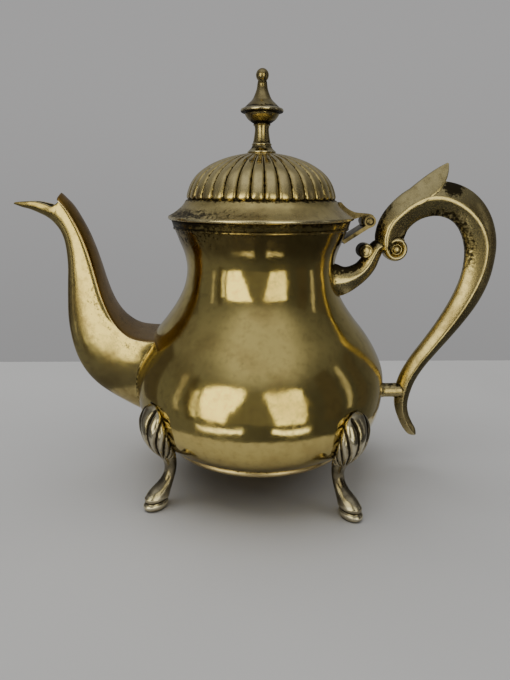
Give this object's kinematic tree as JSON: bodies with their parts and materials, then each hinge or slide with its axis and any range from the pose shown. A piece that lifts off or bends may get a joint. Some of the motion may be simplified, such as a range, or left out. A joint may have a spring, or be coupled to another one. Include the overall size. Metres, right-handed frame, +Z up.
{
  "type": "footed brass coffee pot",
  "caption": "Pear-shaped brass coffee pot on shell-kneed feet, with a channel spout, a scrolled handle and a gadrooned hinged lid under a turned finial.",
  "frame": {"origin": "on the table surface under the axis of the spun body, at the middle of the feet's circle", "axes": "+Z up along the body's axis, +X towards the handle, -X towards the spout, +Y to the left seen from the handle"},
  "size_m": [0.2784, 0.15, 0.235],
  "materials": {
    "body_brass": "polished, aged, with fine scratches and tarnish spots",
    "base_brass": "dull brown, not polished",
    "spout_brass": "polished, aged, darker inside",
    "cast_brass": "worn cast brass, dark in the hollows, bright on the ridges",
    "leg_brass": "worn, silvery on the high spots and near black in the grooves",
    "lid_brass": "polished, dark between the gadroons and patchy on the flare",
    "finial_brass": "turned, polished, dark in the necks",
    "hinge_brass": "dull and dark"
  },
  "bodies": {
    "pot": {"body_bowl": "body_brass", "body_shoulder": "body_brass", "body_neck": "body_brass", "base_plate": "base_brass", "rim_collar": "body_brass", "spout_channel": "spout_brass", "spout_top_plate": "spout_brass", "handle": "cast_brass", "handle_volute_pin": "cast_brass", "upper_bracket": "cast_brass", "lower_bracket": "cast_brass", "leg_front_right": "leg_brass", "leg_front_left": "leg_brass", "leg_back_left": "leg_brass", "leg_back_right": "leg_brass", "hinge_body_leaf": "hinge_brass", "hinge_pin": "hinge_brass"},
    "lid": {"lid_flange": "lid_brass", "lid_dome": "lid_brass", "lid_locating_ring": "lid_brass", "finial_collar": "finial_brass", "finial": "finial_brass", "finial_washer": "hinge_brass", "finial_screw": "hinge_brass", "hinge_lid_leaf": "hinge_brass"}
  },
  "joints": [
    {"name": "lid_hinge", "type": "hinge", "parent": "pot", "child": "lid", "pos_m": [0.0614, 0, 0.156], "axis": [0, 1, 0], "range_deg": [0, 95]}
  ]
}
